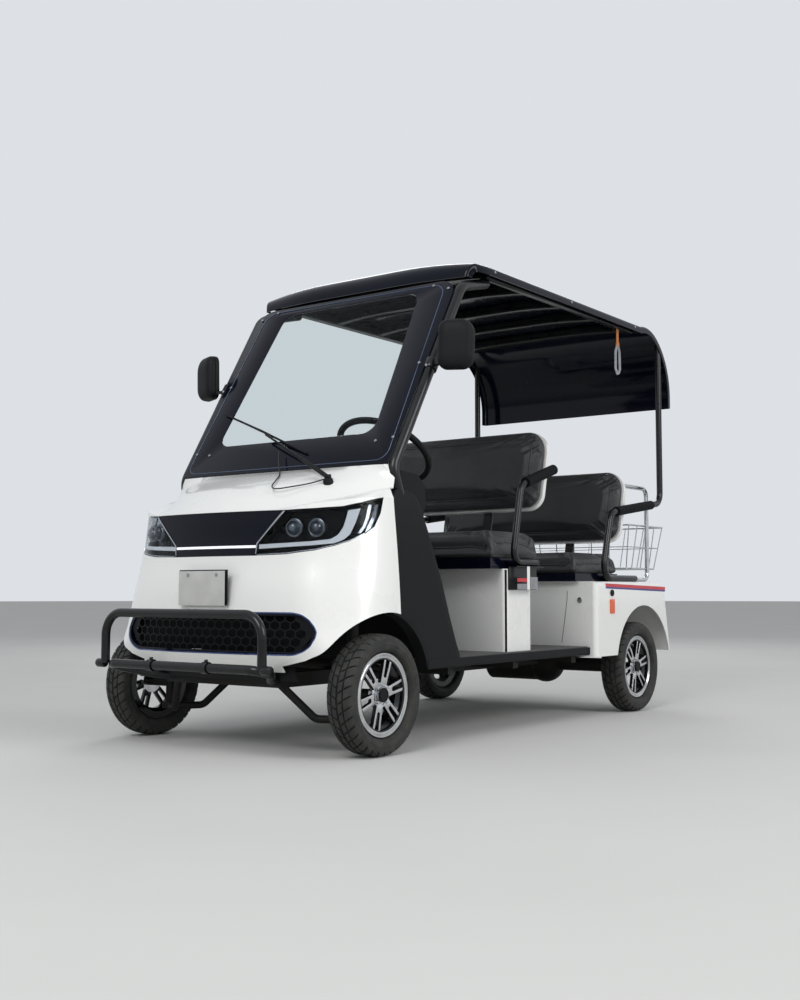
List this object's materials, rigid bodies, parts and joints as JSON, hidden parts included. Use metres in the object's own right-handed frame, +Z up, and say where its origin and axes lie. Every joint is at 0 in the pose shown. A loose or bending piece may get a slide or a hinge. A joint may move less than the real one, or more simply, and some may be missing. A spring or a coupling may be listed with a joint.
{
  "type": "golf cart",
  "caption": "Open electric golf cart with two bench seats, raked windshield, long black roof, white body, tubular bumper and a rear wire basket.",
  "frame": {"origin": "centre of the bounding box on the ground", "axes": "+Z up, the front faces -Y, +X is the vehicle's left"},
  "size_m": [1.464, 2.955, 1.878],
  "materials": {
    "white_body": "glossy moulded white",
    "black_gloss": "gloss black",
    "black_plastic": "grained black",
    "black_steel": "satin black paint",
    "chassis_steel": "black chassis paint",
    "bright_steel": "bright plated steel",
    "cast_alloy": "machined faces",
    "tyre_rubber": "moulded rubber",
    "clear_glass": "clear",
    "lamp_glass": "smoked lens",
    "lamp_body": "dark lamp bucket",
    "red_lens": "red lens",
    "black_leather": "grained upholstery",
    "foam_rubber": "foam sleeve",
    "grey_mat": "ribbed mat",
    "strap_fabric": "woven strap",
    "hose_rubber": "thin hose"
  },
  "bodies": {
    "cart": {"front_cowl": "white_body", "lamp_band": "black_gloss", "headlamp_lenses": "lamp_glass", "headlamp_housings": "lamp_body", "grille_trim": "black_gloss", "grille_mesh": "black_plastic", "chassis_frame": "chassis_steel", "floor_pan": "black_plastic", "floor_mat": "grey_mat", "front_seat_box": "white_body", "seat_pans": "black_gloss", "front_cushion": "black_leather", "rear_cushion": "black_leather", "front_backrest": "black_leather", "rear_backrest": "black_leather", "backrest_shells": "white_body", "back_straps": "black_steel", "arm_brackets": "black_steel", "rear_body": "white_body", "front_posts": "black_steel", "rear_posts": "black_steel", "front_arms": "black_steel", "arm_pads": "foam_rubber", "roof_shell": "black_gloss", "roof_frame": "black_steel", "windshield_frame": "black_gloss", "windshield_border": "black_gloss", "windshield_glass": "clear_glass", "front_arms_lower": "chassis_steel", "front_struts": "chassis_steel", "rack_housing": "chassis_steel", "rear_axle": "chassis_steel", "leaf_springs": "chassis_steel", "steering_column": "black_plastic", "bumper_bar": "black_steel", "mirrors": "black_plastic", "side_panels": "black_plastic", "dashboard": "black_plastic", "front_bulkhead": "black_plastic", "pedals": "black_plastic", "basket": "bright_steel", "basket_frame": "bright_steel", "battery_pack": "black_plastic", "tail_lamps": "red_lens", "plate_bracket": "black_plastic", "grab_handle": "strap_fabric", "wiper": "black_plastic", "washer_hose": "hose_rubber"},
    "steering_wheel": {"steering_wheel": "black_plastic"},
    "steering_rack": {"tie_rods": "chassis_steel"},
    "knuckle_left": {"knuckle_left": "chassis_steel"},
    "knuckle_right": {"knuckle_right": "chassis_steel"},
    "wheel_front_left": {"tyre_front_left": "tyre_rubber", "rim_front_left": "cast_alloy"},
    "wheel_front_right": {"tyre_front_right": "tyre_rubber", "rim_front_right": "cast_alloy"},
    "wheel_rear_left": {"tyre_rear_left": "tyre_rubber", "rim_rear_left": "cast_alloy"},
    "wheel_rear_right": {"tyre_rear_right": "tyre_rubber", "rim_rear_right": "cast_alloy"}
  },
  "joints": [
    {"name": "steering", "type": "hinge", "parent": "cart", "child": "steering_wheel", "pos_m": [0.28, -0.6655, 1.1], "axis": [0, 0.5736, 0.8192], "range_deg": [-420, 420]},
    {"name": "steer_left", "type": "hinge", "parent": "cart", "child": "knuckle_left", "pos_m": [0.455, -1.0755, 0.208], "axis": [0, 0, 1], "range_deg": [-30, 30]},
    {"name": "steer_right", "type": "hinge", "parent": "cart", "child": "knuckle_right", "pos_m": [-0.455, -1.0755, 0.208], "axis": [0, 0, 1], "range_deg": [-30, 30]},
    {"name": "rack_slide", "type": "slide", "parent": "cart", "child": "steering_rack", "axis": [1, 0, 0], "range_m": [-0.0602, 0.0602]},
    {"name": "spin_front_left", "type": "hinge", "parent": "knuckle_left", "child": "wheel_front_left", "pos_m": [0.551, -1.0755, 0.208], "axis": [1, 0, 0], "continuous": true},
    {"name": "spin_front_right", "type": "hinge", "parent": "knuckle_right", "child": "wheel_front_right", "pos_m": [-0.551, -1.0755, 0.208], "axis": [1, 0, 0], "continuous": true},
    {"name": "spin_rear_left", "type": "hinge", "parent": "cart", "child": "wheel_rear_left", "pos_m": [0.551, 0.8975, 0.208], "axis": [1, 0, 0], "continuous": true},
    {"name": "spin_rear_right", "type": "hinge", "parent": "cart", "child": "wheel_rear_right", "pos_m": [-0.551, 0.8975, 0.208], "axis": [1, 0, 0], "continuous": true}
  ],
  "couplings": [
    {"joint": "steer_left", "follows": "steering", "ratio": 0.0714},
    {"joint": "steer_right", "follows": "steering", "ratio": 0.0714},
    {"joint": "rack_slide", "follows": "steering", "m_per_rad": -0.00818}
  ]
}
